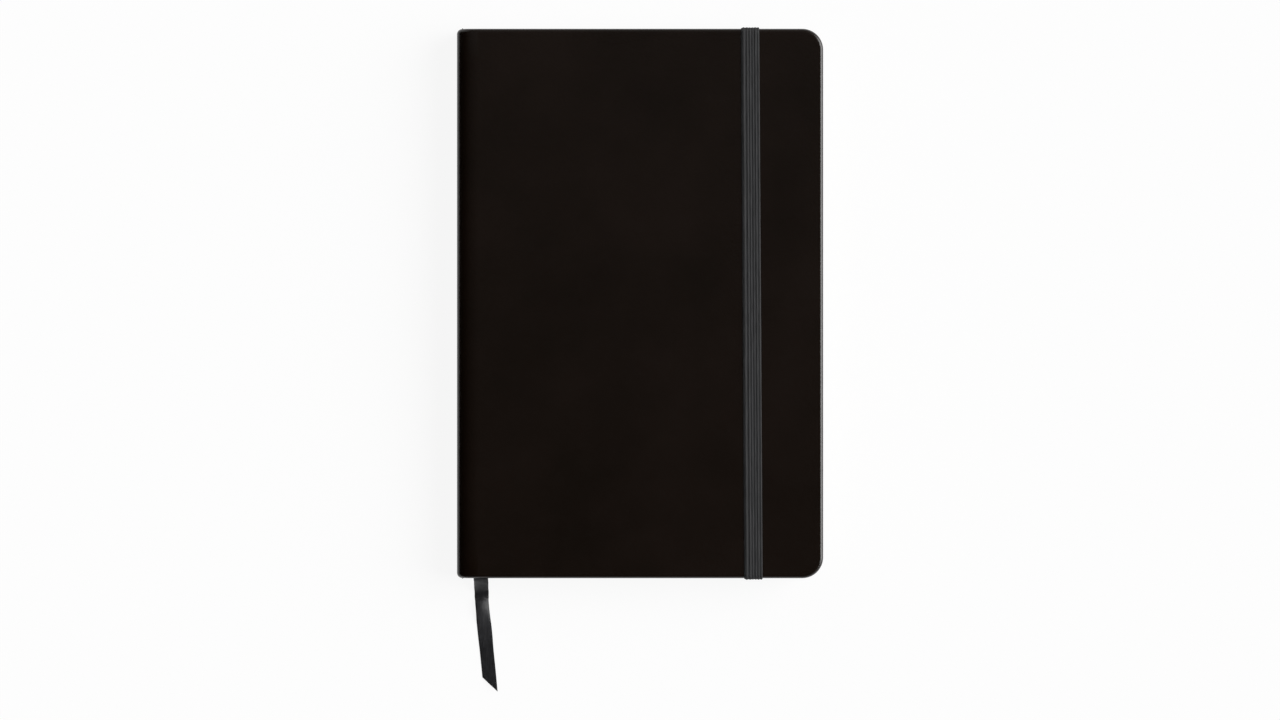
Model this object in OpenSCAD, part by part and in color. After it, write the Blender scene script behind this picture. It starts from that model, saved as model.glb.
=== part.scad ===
// Casebound sketchbook with an elastic closure band and a ribbon marker.
// It lies on its back cover: spine towards -X, head towards +Y, front cover up.
// Origin: middle of the footprint, on the table. Millimetres.

/* [Case] */
// Width of the closed book, spine to fore-edge
cover_w = 140; // [110:1:220]
// Height of the closed book, head to tail
cover_h = 210; // [140:1:320]
// Radius of the two fore-edge corners of each cover
cover_corner_r = 8; // [4:0.5:14]
// Radius of the case's corners at head and tail of the spine
spine_corner_r = 2; // [0.5:0.5:4]
// Thickness of each cover board
board_t = 2; // [1.5:0.1:3]
// Thickness of the leatherette covering
skin_t = 0.4; // [0.3:0.05:0.5]
// Width of the covering turned in over the inside of each board
turn_in_w = 14; // [10:1:20]
// Radius of the spine's two rounded long edges
spine_r = 5; // [3:0.5:6]
// Thickness of the card strip in the spine
spine_strip_t = 0.8; // [0.5:0.1:1]
// Flat bending strip between a rounded spine edge and the board
joint_w = 3; // [2:0.5:6]

/* [Text block] */
// Thickness of one leaf
leaf_t = 0.18; // [0.12:0.01:0.25]
// Leaves folded into one signature
signature_leaves = 8; // [6:2:12]
// Signatures sewn together
signature_count = 7; // [5:1:10]
// How far the covers overhang the pages on three sides
square_w = 3; // [2:0.5:5]
// Radius of the page corners at the fore-edge
page_corner_r = 6; // [3:0.5:10]
// Distance from the spine's outer face to the pages' folded edge
spine_depth = 3.4; // [3.2:0.1:5]
// Sewing stations along the spine
station_count = 6; // [4:2:10]
// Distance from the pages' head or tail edge to the first sewing station
station_inset = 16; // [10:1:25]
// Thickness of the sewing thread
thread_d = 0.34; // [0.2:0.02:0.34]
// Thickness of the gauze on the spine
mull_t = 0.25; // [0.15:0.05:0.3]
// Distance from the pages' head or tail edge to the gauze
mull_inset = 8; // [4:1:15]
// Thickness of the paper lining over the gauze
lining_t = 0.2; // [0.1:0.05:0.3]
// Distance from the pages' head or tail edge to the lining
lining_inset = 4; // [2:1:10]
// Diameter of the bead along each head and tail band
bead_d = 1.8; // [1:0.1:2]
// Height of the band tape glued down the spine
band_tape_h = 9; // [6:1:15]
// Thickness of the band tape
band_tape_t = 0.25; // [0.15:0.05:0.3]

/* [Elastic band] */
// Width of the elastic
elastic_w = 7; // [5:0.5:12]
// Thickness of the elastic
elastic_t = 0.6; // [0.4:0.1:0.8]
// Distance from the fore-edge to the middle of the elastic
elastic_inset = 27.3; // [18:0.5:40]
// How far the elastic leans out of square, in degrees
elastic_lean = 0.35; // [0:0.05:1]
// Distance from the head or tail edge to each slit in the back cover
slit_inset = 12; // [8:0.5:13]
// Length of each elastic end glued inside the back board
elastic_glue_l = 10; // [6:1:20]

/* [Ribbon marker] */
// Width of the ribbon
ribbon_w = 5.6; // [4:0.1:8]
// Thickness of the ribbon
ribbon_t = 0.3; // [0.2:0.05:0.3]
// Distance from the spine's outer face to the middle of the ribbon
ribbon_inset = 9; // [8:0.1:20]
// Length of the ribbon's end glued down the spine
ribbon_glue_l = 18; // [10:1:30]

/* [Hidden] */
$fn = 64;
// Slack between loose leaves, and between a leaf and an endpaper
leaf_gap = 0.05;
paper_gap = 0.1;
// Slack between pieces that bend or slide and what they lie on
skin_gap = 0.05;
// Film of glue between the layers on the spine, and slack round the other glued pieces
glue_film = 0.01;
glue_gap = 0.02;
// How far the loose leaves' edge stands in from the folded sheets
leaf_inset = 0.4;
// How far the stitches stop short of the text block's front and back
stitch_inset = 0.4;
// Leaves of the front signature that are modelled loose
loose_count = 2;
// Half angle of each rounded edge that belongs to the stiff spine
stiff_angle = 20;
// Height over the table down to which the elastic's legs reach
leg_z = 2.8;
// Room around the elastic in its slits and recesses
slit_gap = 0.2;
// Over-reach of every cut
cut = 1;

left = -cover_w / 2;
right = cover_w / 2;
half_h = cover_h / 2;
panel_t = board_t + skin_t;
cover_t = panel_t + leaf_t;
panel_x = left + spine_r + joint_w;
page_x = left + spine_depth;
page_right = right - square_w;
page_half_h = half_h - square_w;

function leaves_in(i) = i == 1 ? signature_leaves - loose_count : signature_leaves;
function signature_thickness(i) = leaves_in(i) * leaf_t;
// Height of the bottom face of signature i, with signature 1 at the front
function signature_z(i) =
    i == signature_count ? block_z : signature_z(i + 1) + signature_thickness(i + 1);

back_leaf_z = cover_t + paper_gap;
block_z = back_leaf_z + leaf_t + leaf_gap;
block_top = signature_z(1) + signature_thickness(1);
// Loose leaf k counts up from the block: the second leaf, the first leaf and the flyleaf
function loose_z(k) = block_top + leaf_gap + k * (leaf_t + leaf_gap);
front_paper_z = loose_z(loose_count) + leaf_t + paper_gap;
book_t = front_paper_z + cover_t;

leaf_x = page_x + leaf_inset;
stiff_z = spine_r - spine_r * sin(stiff_angle);

thread_x = page_x - glue_film - thread_d / 2;
mull_x = page_x - glue_film - thread_d - mull_t;
lining_x = mull_x - lining_t;
ribbon_spine_x = lining_x - ribbon_t;
tape_x = ribbon_spine_x - band_tape_t;

elastic_x = right - elastic_inset;
elastic_top = book_t + skin_gap + elastic_t;
elastic_half = half_h + skin_gap + elastic_t;
recess_t = elastic_t + skin_gap;
slit_y = half_h - slit_inset;
// The ribbon lies under this signature
ribbon_signature = ceil(signature_count / 2);
ribbon_x = left + ribbon_inset;
ribbon_z = signature_z(ribbon_signature);
ribbon_over_y = page_half_h + glue_gap;
// Share of the ribbon's half width that has its full thickness
ribbon_flat = 0.9;

// Free end of the ribbon, from the pages' tail edge down to the table and along it
ribbon_route = [
    [-61.0, -102.1, 7.4], [-61.0, -103.6, 7.3], [-61.0, -105.2, 6.7], [-60.9, -106.7, 5.4],
    [-60.9, -107.9, 3.8], [-60.9, -109.1, 2.1], [-60.8, -110.6, 0.8], [-60.8, -112.5, 0.3],
    [-60.7, -114.6, 0.5], [-60.5, -116.8, 0.8], [-60.3, -119.0, 0.6], [-60.1, -121.4, 0.3],
    [-59.8, -124.0, 0.2], [-59.5, -126.8, 0.2], [-59.2, -129.8, 0.2], [-58.9, -132.8, 0.2],
    [-58.6, -135.8, 0.2], [-58.3, -138.8, 0.2], [-58.0, -141.8, 0.2], [-57.6, -146.2, 0.2]
];

// ---- shared shapes ----

// Closed case seen from above, with its corners rounded at head and tail of the spine
module case_outline() {
    r = spine_corner_r;
    translate([left + r, -half_h]) square([cover_w - r, cover_h]);
    translate([left, r - half_h]) square([2 * r, cover_h - 2 * r]);
    for (side = [-1, 1]) translate([left + r, side * (half_h - r)]) circle(r);
}

// Turns what is modelled for the back cover over to the front
module on_front() {
    translate([0, 0, book_t]) mirror([0, 0, 1]) children();
}

// Extrudes a profile drawn as X and Z along the book's height, between -half and half
module along_height(half) {
    translate([0, half, 0]) rotate([90, 0, 0]) linear_extrude(2 * half) children();
}

// Extrudes a profile drawn as Y and Z across the elastic's width, with the elastic's lean
module across_elastic(width) {
    translate([elastic_x, 0, 0]) rotate([0, 0, elastic_lean]) translate([-width / 2, 0, 0])
        rotate([90, 0, 90]) linear_extrude(width) children();
}

// ---- covers, modelled as the back cover ----

// Board with a shallow rebate on its inside, where the covering is turned in
module board_shape(over = 0) {
    inner = right - turn_in_w;
    translate([0, 0, skin_t]) linear_extrude(board_t - skin_t)
        board_outline(panel_x - over, right - skin_t, half_h - skin_t, cover_corner_r - skin_t);
    translate([0, 0, skin_t]) linear_extrude(board_t + over)
        board_outline(panel_x - over, inner, half_h - turn_in_w, 0);
}

// Rectangle symmetric about Y = 0, with rounded corners at its right-hand side
module board_outline(x0, x1, half, r) {
    difference() {
        translate([x0, -half]) square([x1 - x0, 2 * half]);
        if (r > 0)
            for (side = [-1, 1])
                translate([x1 - r, side * (half - r) - (side < 0 ? r + cut : 0)])
                    square([r + cut, r + cut]);
    }
    if (r > 0) for (side = [-1, 1]) translate([x1 - r, side * (half - r)]) circle(r);
}

module covering_shape() {
    difference() {
        linear_extrude(panel_t) board_outline(panel_x, right, half_h, cover_corner_r);
        board_shape(cut);
    }
}

module paste_down_shape() {
    translate([0, 0, panel_t]) linear_extrude(leaf_t)
        board_outline(panel_x, page_right, page_half_h, page_corner_r);
}

// Everything that the elastic's ends need out of the back cover
module elastic_cuts() {
    slit_l = elastic_t + 2 * slit_gap;
    across_elastic(elastic_w + 2 * slit_gap)
        for (side = [-1, 1]) scale([side, 1]) translate([slit_y - slit_l, 0]) {
            translate([0, -cut]) square([slit_l + slit_inset + cut, recess_t + cut]);
            translate([0, -cut]) square([slit_l, panel_t + 2 * cut]);
            translate([-elastic_glue_l, panel_t - recess_t])
                square([elastic_glue_l + slit_l, recess_t + cut]);
        }
}

module front_board() {
    color("#8d8a82") on_front() board_shape();
}

module front_skin() {
    color("#1b1613") on_front() covering_shape();
}

module front_paste_down() {
    color("#ece5d3") on_front() paste_down_shape();
}

module back_board() {
    color("#8d8a82") difference() {
        board_shape();
        elastic_cuts();
    }
}

module back_skin() {
    color("#1b1613") difference() {
        covering_shape();
        elastic_cuts();
    }
}

module back_paste_down() {
    color("#ece5d3") paste_down_shape();
}

// ---- spine ----

// Left end of the closed case, seen from the tail, drawn in by inset
module case_end(inset) {
    r = spine_r - inset;
    x0 = left + inset;
    translate([x0, spine_r]) square([panel_x - x0, book_t - 2 * spine_r]);
    for (z = [spine_r, book_t - spine_r]) translate([left + spine_r, z]) circle(r);
    translate([left + spine_r, inset]) square([panel_x - left - spine_r, book_t - 2 * inset]);
}

module case_shell(outer, inner) {
    difference() {
        case_end(outer);
        case_end(inner);
        translate([panel_x - skin_gap, 0]) square([cover_w, book_t]);
    }
}

module in_case_corners() {
    intersection() {
        children();
        translate([0, 0, -cut]) linear_extrude(book_t + 2 * cut) case_outline();
    }
}

module spine_strip() {
    color("#8d8a82") along_height(half_h - skin_t - spine_corner_r) intersection() {
        case_shell(skin_t, skin_t + spine_strip_t);
        translate([left, stiff_z]) square([spine_r, book_t - 2 * stiff_z]);
    }
}

module spine_skin() {
    color("#15100d") in_case_corners() along_height(half_h) intersection() {
        case_shell(0, skin_t);
        translate([left, stiff_z]) square([spine_r, book_t - 2 * stiff_z]);
    }
}

module back_joint_shape() {
    in_case_corners() along_height(half_h) intersection() {
        case_shell(0, skin_t);
        translate([left, 0]) square([cover_w, stiff_z]);
    }
}

module front_joint_skin() {
    color("#15100d") on_front() back_joint_shape();
}

module back_joint_skin() {
    color("#15100d") back_joint_shape();
}

module back_hinge_shape() {
    translate([leaf_x, -page_half_h, panel_t])
        cube([panel_x - skin_gap - leaf_x, 2 * page_half_h, leaf_t]);
}

module front_hinge_paper() {
    color("#ece5d3") on_front() back_hinge_shape();
}

module back_hinge_paper() {
    color("#ece5d3") back_hinge_shape();
}

// ---- text block ----

module signature(i) {
    t = signature_thickness(i);
    color(i % 2 == 0 ? "#f0ead9" : "#e9e2cf") translate([0, 0, signature_z(i)]) difference() {
        intersection() {
            along_height(page_half_h) {
                translate([page_x + t / 2, 0]) square([page_right - page_x - t / 2, t]);
                translate([page_x + t / 2, t / 2]) circle(t / 2);
            }
            translate([0, 0, -cut]) linear_extrude(t + 2 * cut)
                board_outline(page_x - cut, page_right, page_half_h, page_corner_r);
        }
        if (i == ribbon_signature) translate([ribbon_x - ribbon_w / 2, -page_half_h - cut, -cut])
            cube([ribbon_w, 2 * (page_half_h + cut), ribbon_t + cut]);
    }
}

module leaf(z) {
    color("#f0ead9") translate([0, 0, z]) linear_extrude(leaf_t)
        board_outline(leaf_x, page_right, page_half_h, page_corner_r);
}

module front_flyleaf() {
    leaf(loose_z(2));
}

module first_leaf() {
    leaf(loose_z(1));
}

module second_leaf() {
    leaf(loose_z(0));
}

module back_flyleaf() {
    leaf(back_leaf_z);
}

// Linking stitches that run over the folds at each sewing station
module sewing_thread() {
    end_y = page_half_h - station_inset;
    pitch = 2 * end_y / (station_count - 1);
    color("#f4f1e6") for (k = [0:station_count - 1], side = [-1, 1])
        translate([thread_x, k * pitch - end_y + side * thread_d, block_z + stitch_inset])
            cylinder(d = thread_d, h = block_top - block_z - 2 * stitch_inset);
}

module mull_cloth() {
    half = page_half_h - mull_inset;
    color("#dcd6c6") translate([mull_x, -half, block_z]) cube([mull_t, 2 * half, block_top - block_z]);
}

module spine_lining() {
    half = page_half_h - lining_inset;
    color("#b08d5e") translate([lining_x, -half, block_z])
        cube([lining_t, 2 * half, block_top - block_z]);
}

// Woven band: a bead on the edge of the pages with a tape glued down the spine
module end_band(edge_y) {
    bead_y = edge_y + bead_d / 2;
    translate([tape_x + bead_d / 2, bead_y, block_z]) cylinder(d = bead_d, h = block_top - block_z);
    translate([tape_x, bead_y - band_tape_h, block_z])
        cube([band_tape_t, band_tape_h, block_top - block_z]);
}

module head_band() {
    color("#c8c2b4") end_band(ribbon_over_y + ribbon_t + glue_gap);
}

module tail_band() {
    color("#c8c2b4") mirror([0, 1, 0]) end_band(page_half_h + glue_gap);
}

// ---- ribbon ----

module ribbon_marker() {
    x1 = ribbon_x + ribbon_w / 2;
    z0 = ribbon_z - ribbon_w / 2;
    color("#2b2b2e") {
        translate([ribbon_x - ribbon_w / 2, -page_half_h, ribbon_z])
            cube([ribbon_w, page_half_h + ribbon_over_y, ribbon_t]);
        translate([ribbon_spine_x, ribbon_over_y, z0])
            cube([x1 - ribbon_spine_x, ribbon_t, ribbon_w]);
        translate([ribbon_spine_x, ribbon_over_y + ribbon_t - ribbon_glue_l, z0])
            cube([ribbon_t, ribbon_glue_l, ribbon_w]);
    }
}

function unit(v) = v / norm(v);
function route_dir(p, i) = unit(p[min(i + 1, len(p) - 1)] - p[max(i - 1, 0)]);
// Ring of the flat ribbon section around route point i
function ribbon_ring(p, i) =
    let (
        along = route_dir(p, i),
        across = unit(cross(along, [0, 0, 1])),
        up = cross(across, along),
        a = ribbon_w / 2,
        c = ribbon_flat * a,
        b = ribbon_t / 2,
        section = [[a, 0], [c, b], [0, b], [-c, b], [-a, 0], [-c, -b], [0, -b], [c, -b]]
    )
    [for (s = section) p[i] + s[0] * across + s[1] * up];

module ribbon_tail() {
    sides = 8;
    rings = len(ribbon_route);
    points = [for (i = [0:rings - 1]) each ribbon_ring(ribbon_route, i)];
    walls = [for (i = [0:rings - 2], k = [0:sides - 1])
        let (a = i * sides + k, b = i * sides + (k + 1) % sides)
        each [[a, b, b + sides], [a, b + sides, a + sides]]];
    start_cap = [for (k = [sides - 1:-1:0]) k];
    end_cap = [for (k = [0:sides - 1]) (rings - 1) * sides + k];
    color("#2b2b2e") polyhedron(points, concat(walls, [start_cap, end_cap]));
}

// ---- elastic band ----

// Run over the front cover, with a leg down each of the head and tail edges
module elastic_strap() {
    r = elastic_t;
    inner = elastic_half - elastic_t;
    color("#37373a") across_elastic(elastic_w) difference() {
        union() {
            translate([-elastic_half, leg_z]) square([2 * elastic_half, elastic_top - r - leg_z]);
            translate([r - elastic_half, leg_z]) square([2 * (elastic_half - r), elastic_top - leg_z]);
            for (side = [-1, 1]) translate([side * (elastic_half - r), elastic_top - r]) circle(r);
        }
        translate([-inner, leg_z - cut]) square([2 * inner, elastic_top - elastic_t - leg_z + cut]);
    }
}

// The two ends: under the back cover's edge, through its slit and glued inside its board
module elastic_ends() {
    inner = elastic_half - elastic_t;
    color("#37373a") across_elastic(elastic_w) for (side = [-1, 1]) scale([side, 1]) {
        translate([inner, recess_t]) square([elastic_t, leg_z - recess_t]);
        intersection() {
            translate([inner, recess_t]) circle(elastic_t);
            translate([inner, 0]) square([elastic_t, recess_t]);
        }
        translate([slit_y - slit_gap, skin_gap]) square([inner - slit_y + slit_gap, elastic_t]);
        translate([slit_y - slit_gap - elastic_t, skin_gap])
            square([elastic_t, panel_t - skin_gap - glue_gap]);
        translate([slit_y - slit_gap - elastic_glue_l, panel_t - elastic_t - glue_gap])
            square([elastic_glue_l, elastic_t]);
    }
}

front_board();
front_skin();
front_paste_down();
back_board();
back_skin();
back_paste_down();
spine_strip();
spine_skin();
front_joint_skin();
back_joint_skin();
front_hinge_paper();
back_hinge_paper();
for (i = [1:signature_count])
    signature(i);
front_flyleaf();
first_leaf();
second_leaf();
back_flyleaf();
sewing_thread();
mull_cloth();
spine_lining();
head_band();
tail_band();
ribbon_marker();
ribbon_tail();
elastic_strap();
elastic_ends();
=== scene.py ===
"""Casebound sketchbook with an elastic band and a ribbon marker, dressed over its CAD frame."""

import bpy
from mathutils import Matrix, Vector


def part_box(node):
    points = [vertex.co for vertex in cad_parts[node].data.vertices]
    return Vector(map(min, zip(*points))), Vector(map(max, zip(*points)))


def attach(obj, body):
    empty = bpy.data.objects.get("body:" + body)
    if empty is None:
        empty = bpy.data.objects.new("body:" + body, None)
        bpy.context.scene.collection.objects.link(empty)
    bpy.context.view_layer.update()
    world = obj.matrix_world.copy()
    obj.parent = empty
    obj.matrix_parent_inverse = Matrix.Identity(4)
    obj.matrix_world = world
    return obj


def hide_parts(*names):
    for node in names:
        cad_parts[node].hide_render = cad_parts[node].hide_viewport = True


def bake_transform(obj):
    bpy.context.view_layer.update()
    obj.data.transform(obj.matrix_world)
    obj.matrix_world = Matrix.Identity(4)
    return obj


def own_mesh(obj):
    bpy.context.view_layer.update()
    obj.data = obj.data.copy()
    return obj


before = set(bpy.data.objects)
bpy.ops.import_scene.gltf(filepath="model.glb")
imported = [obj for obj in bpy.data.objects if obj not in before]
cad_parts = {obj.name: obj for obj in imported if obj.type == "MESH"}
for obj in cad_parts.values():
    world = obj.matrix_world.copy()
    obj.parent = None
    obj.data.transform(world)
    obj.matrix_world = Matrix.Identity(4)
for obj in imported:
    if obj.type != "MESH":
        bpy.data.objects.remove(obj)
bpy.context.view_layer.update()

import math
import random

import bmesh
import bpy
from mathutils import Vector

# Lengths below are in millimetres, in the CAD's frame: X to the fore-edge, Y to the head, Z up.
MM = 0.001
draw = random.Random(11)


def corners(node):
    """Lowest and highest corner of a CAD node, in millimetres."""
    return [[value / MM for value in corner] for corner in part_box(node)]


# ---- sizes read from the CAD pieces ----
(panel_x, _, _), (right, half, panel_t) = corners("back_skin")
(spine_x, _, _), _ = corners("spine_skin")
_, (_, _, book_t) = corners("front_skin")
_, (page_right, page_half, paste_top) = corners("back_paste_down")
(leaf_x, _, _), _ = corners("first_leaf")
(page_x, _, block_z), _ = corners("signature_7")
(strap_low_x, _, leg_z), (strap_high_x, _, _) = corners("elastic_strap")
strap_x = (strap_low_x + strap_high_x) / 2
ribbon_low, ribbon_high = corners("ribbon_marker")
ribbon_w = ribbon_high[2] - ribbon_low[2]
ribbon_x = ribbon_high[0] - ribbon_w / 2

# ---- sizes the boxes don't tell ----
corner_r = 8.0          # fore-edge corners of the covers
page_corner_r = 6.0     # fore-edge corners of the pages
shoulder_z = 3.6        # height of the rounded long edges of the spine
cap_r = 2.0             # rolled head and tail caps of the spine
edge_r = 1.3            # covering round a board's edge
lip_r = 0.4             # the same on the inside edge
skin_t = 0.38           # covering
turn_in = 14.0          # covering turned over onto the inside of a board
stiff_turn = 0.055      # share of each rounded edge that stays with the spine
band_w, band_t = 7.0, 0.6
band_lean = math.radians(0.35)
slit_y = half - 12.0    # slits in the back board that the band goes through
ribbon_t = 0.26
ribbon_lift = 0.15      # middle of the ribbon above the pages that it lies on
signature_t = 1.44      # one signature, and so the step between the thread's links
tuck_run = 10.0         # end of the band, glued inside the back board from its slit on
rise = 0.05             # slack between the band and what it lies on
seam = 0.01             # gap between two lengths of the band, which is one piece
floor_drop = 0.02       # floor below the book, so that the two never share a plane
floor_glow = 0.905      # just short of white, which leaves the shadow its place


# ---- small tools ----
def linear(text):
    """sRGB hex to the linear colour that Blender works in."""
    channels = [int(text[i:i + 2], 16) / 255 for i in (1, 3, 5)]
    return [c / 12.92 if c <= 0.04045 else ((c + 0.055) / 1.055) ** 2.4 for c in channels] + [1.0]


def mix(a, b, share):
    return a + (b - a) * share


def smooth(share):
    share = min(1.0, max(0.0, share))
    return share * share * (3 - 2 * share)


def spread(a, b, count):
    """count + 1 even steps from a to b."""
    return [mix(a, b, k / count) for k in range(count + 1)]


def quads(rows, columns, start=0, wrap=False):
    """Faces of a grid of points that lie row after row; wrap closes each row on itself."""
    last = columns if wrap else columns - 1
    return [[start + r * columns + c, start + r * columns + (c + 1) % columns,
             start + (r + 1) * columns + (c + 1) % columns, start + (r + 1) * columns + c]
            for r in range(rows - 1) for c in range(last)]


def piece(name, points, faces, material, body=None, nodes=(), outward=None, thick=0.0,
          crease=35):
    """One piece from points in millimetres. outward is the way its first face looks, and thick is
    how far the surface goes the other way."""
    mesh = bpy.data.meshes.new(name)
    mesh.from_pydata([[c * MM for c in p] for p in points], [], faces)
    obj = bpy.data.objects.new(name, mesh)
    bpy.context.collection.objects.link(obj)
    if outward is not None and mesh.polygons[0].normal.dot(Vector(outward)) < 0:
        mesh.flip_normals()
    if thick:
        shell = obj.modifiers.new("thickness", "SOLIDIFY")
        shell.thickness, shell.offset, shell.use_quality_normals = thick * MM, -1, True
        graph = bpy.context.evaluated_depsgraph_get()
        mesh = bpy.data.meshes.new_from_object(obj.evaluated_get(graph))
        obj.modifiers.clear()
        obj.data = mesh
        mesh.name = name
    # Each closed part looks outward, also where it was made as the mirror image of another
    solid = bmesh.new()
    solid.from_mesh(mesh)
    bmesh.ops.recalc_face_normals(solid, faces=solid.faces)
    solid.to_mesh(mesh)
    solid.free()
    mesh.shade_smooth()
    mesh.set_sharp_from_angle(angle=math.radians(crease))
    mesh.materials.clear()
    mesh.materials.append(material)
    if nodes:
        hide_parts(*nodes)
    if body:
        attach(obj, body)
    return obj


def add(tree, kind, links=(), **settings):
    """One node with its settings; links gives its sockets a value or another node's output."""
    made = tree.nodes.new("ShaderNode" + kind)
    for key, value in settings.items():
        setattr(made, key, value)
    for socket, value in dict(links).items():
        if isinstance(value, bpy.types.NodeSocket):
            tree.links.new(value, made.inputs[socket])
        else:
            made.inputs[socket].default_value = value
    return made


def new_material(name):
    material = bpy.data.materials.new(name)
    material.use_nodes = True
    tree = material.node_tree
    tree.nodes.clear()
    place = add(tree, "TexCoord").outputs["Object"]
    return material, tree, place


def finish_material(tree, colour, roughness, height, depth, ior=1.5, **constants):
    """Principled shader with a bump; depth is the relief in millimetres."""
    bump = add(tree, "Bump", {"Height": height, "Distance": depth * MM, "Strength": 1.0})
    shader = add(tree, "BsdfPrincipled", {"Base Color": colour, "Roughness": roughness,
                                          "Normal": bump.outputs[0], "IOR": ior})
    for socket, value in constants.items():
        shader.inputs[socket.replace("_", " ")].default_value = value
    add(tree, "OutputMaterial", {"Surface": shader.outputs[0]})


def per_metre(size):
    """Texture scale that gives one cell or wave per size in millimetres."""
    return 1 / (size * MM)


# ---- materials ----
def leatherette():
    """Polyurethane on cloth, embossed: near black, with a fine pebbled grain and a low sheen."""
    material, tree, place = new_material("leatherette_embossed")
    grain = add(tree, "TexVoronoi", {"Vector": place, "Scale": per_metre(0.55),
                                     "Randomness": 0.9}, feature="SMOOTH_F1")
    fine = add(tree, "TexNoise", {"Vector": place, "Scale": per_metre(0.2), "Detail": 3.0})
    cloud = add(tree, "TexNoise", {"Vector": place, "Scale": per_metre(38), "Detail": 4.0,
                                   "Roughness": 0.6})
    relief = add(tree, "Math", {0: grain.outputs["Distance"], 1: 1.4, 2: fine.outputs[0]},
                 operation="MULTIPLY_ADD")
    share = add(tree, "MapRange", {"Value": cloud.outputs[0], "From Min": 0.35, "From Max": 0.65})
    colour = add(tree, "Mix", {0: share.outputs[0], 6: linear("#120903"), 7: linear("#160b04")},
                 data_type="RGBA")
    rough = add(tree, "MapRange", {"Value": cloud.outputs[0], "From Min": 0.3, "From Max": 0.7,
                                   "To Min": 0.22, "To Max": 0.26})
    finish_material(tree, colour.outputs[2], rough.outputs[0], relief.outputs[0], 0.018,
                    Specular_IOR_Level=0.7)
    return material


def paper(name, shade, fleck, tooth):
    """Uncoated drawing paper, felt-marked: warm white, matt, with tooth and a few darker fibres."""
    material, tree, place = new_material(name)
    felt = add(tree, "TexNoise", {"Vector": place, "Scale": per_metre(tooth), "Detail": 5.0,
                                  "Roughness": 0.7})
    stretched = add(tree, "Mapping", {"Vector": place, "Scale": (1, 3.5, 6),
                                      "Rotation": (0, 0, 0.6)})
    fibre = add(tree, "TexNoise", {"Vector": stretched.outputs[0], "Scale": per_metre(5),
                                   "Detail": 6.0, "Roughness": 0.8})
    share = add(tree, "MapRange", {"Value": fibre.outputs[0], "From Min": 0.5, "From Max": 0.75})
    colour = add(tree, "Mix", {0: share.outputs[0], 6: linear(shade), 7: linear(fleck)},
                 data_type="RGBA")
    rough = add(tree, "MapRange", {"Value": felt.outputs[0], "To Min": 0.82, "To Max": 0.95})
    finish_material(tree, colour.outputs[2], rough.outputs[0], felt.outputs[0], 0.02,
                    ior=1.45, Specular_IOR_Level=0.35)
    return material


def grey_board():
    """Binder's board, milled from recycled pulp: flat grey with short light and dark fibres."""
    material, tree, place = new_material("binders_board_milled")
    layers = add(tree, "Mapping", {"Vector": place, "Scale": (1, 1, 5)})
    pulp = add(tree, "TexNoise", {"Vector": layers.outputs[0], "Scale": per_metre(1.6),
                                  "Detail": 8.0, "Roughness": 0.75})
    share = add(tree, "MapRange", {"Value": pulp.outputs[0], "From Min": 0.35, "From Max": 0.65})
    colour = add(tree, "Mix", {0: share.outputs[0], 6: linear("#7a776f"), 7: linear("#9b978d")},
                 data_type="RGBA")
    rough = add(tree, "MapRange", {"Value": pulp.outputs[0], "To Min": 0.85, "To Max": 0.97})
    finish_material(tree, colour.outputs[2], rough.outputs[0], pulp.outputs[0], 0.05, ior=1.45)
    return material


def kraft():
    """Kraft paper, machine-laid: brown, with fibres along the spine and fine laid lines."""
    material, tree, place = new_material("kraft_paper_laid")
    stretched = add(tree, "Mapping", {"Vector": place, "Scale": (5, 1, 5)})
    fibre = add(tree, "TexNoise", {"Vector": stretched.outputs[0], "Scale": per_metre(6),
                                   "Detail": 6.0, "Roughness": 0.7})
    laid = add(tree, "TexWave", {"Vector": place, "Scale": per_metre(1.2) / 2, "Distortion": 0.6,
                                 "Detail": 2.0}, bands_direction="Y")
    colour = add(tree, "Mix", {0: fibre.outputs[0], 6: linear("#94713f"), 7: linear("#c29e6b")},
                 data_type="RGBA")
    rough = add(tree, "MapRange", {"Value": fibre.outputs[0], "To Min": 0.75, "To Max": 0.92})
    finish_material(tree, colour.outputs[2], rough.outputs[0], laid.outputs["Fac"], 0.02, ior=1.45)
    return material


def woven(name, dark, light, pitch, depth, roughness, along="Y", streak=(1, 1, 1), **constants):
    """Plain weave: warp and weft cross at the given pitch, and each crossing stands up. Its colour
    has painted shade in the hollows between crossings, and uneven yarns drawn out along it by
    streak."""
    material, tree, place = new_material(name)
    bands = [add(tree, "TexWave", {"Vector": place, "Scale": per_metre(pitch) / 2,
                                   "Distortion": 0.35, "Detail": 1.0, "Detail Scale": 2.0},
                 bands_direction=axis) for axis in (along, "X" if along != "X" else "Z")]
    relief = add(tree, "Math", {0: bands[0].outputs["Fac"], 1: bands[1].outputs["Fac"]},
                 operation="MULTIPLY")
    drawn = add(tree, "Mapping", {"Vector": place, "Scale": streak})
    worn = add(tree, "TexNoise", {"Vector": drawn.outputs[0], "Scale": per_metre(3.0),
                                  "Detail": 4.0})
    # The colour follows the relief: painted shade in the hollows, painted light on the crossings,
    # and the streaked noise adds uneven yarn tone.
    share = add(tree, "Math", {0: relief.outputs[0], 1: 0.5, 2: worn.outputs[0]},
                operation="MULTIPLY_ADD")
    yarn_tone_and_shade = add(tree, "MapRange", {"Value": share.outputs[0], "From Min": 0.4, "From Max": 0.95})
    colour = add(tree, "Mix", {0: yarn_tone_and_shade.outputs[0], 6: linear(dark), 7: linear(light)},
                 data_type="RGBA")
    rough = add(tree, "MapRange", {"Value": worn.outputs[0], "To Min": roughness - 0.06,
                                   "To Max": roughness + 0.06})
    finish_material(tree, colour.outputs[2], rough.outputs[0], relief.outputs[0], depth,
                    ior=1.5, **constants)
    return material


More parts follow.
